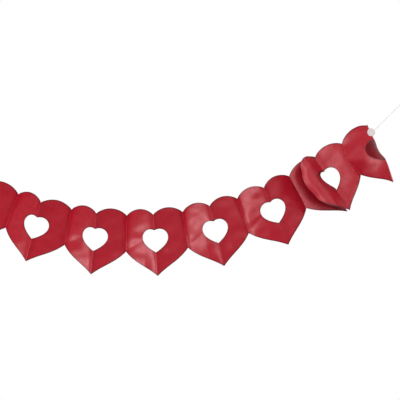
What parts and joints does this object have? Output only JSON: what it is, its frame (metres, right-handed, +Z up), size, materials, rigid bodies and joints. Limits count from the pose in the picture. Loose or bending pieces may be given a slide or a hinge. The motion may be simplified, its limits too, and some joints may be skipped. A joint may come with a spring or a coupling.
{
  "type": "paper heart garland",
  "caption": "Red paper garland folded back and forth into hearts with heart-shaped holes, hung in a swag by a thread at each end",
  "frame": {"origin": "centre of the right hanging loop, where a hook or nail holds it", "axes": "+Z up, +X along the garland to the viewer's right, -Y towards the viewer, +Y towards the wall"},
  "size_m": [1.2228, 0.0847, 0.4169],
  "materials": {
    "paper": "thin red paper with a slight satin sheen",
    "sticker": "matt white paper",
    "thread": "twisted off-white sewing thread"
  },
  "bodies": {
    "root": {"heart_strip": "paper", "thread_sticker_right": "sticker", "thread_sticker_left": "sticker", "hanging_thread_right": "thread", "hanging_thread_left": "thread", "thread_loop_right": "thread", "thread_loop_left": "thread"}
  },
  "joints": []
}
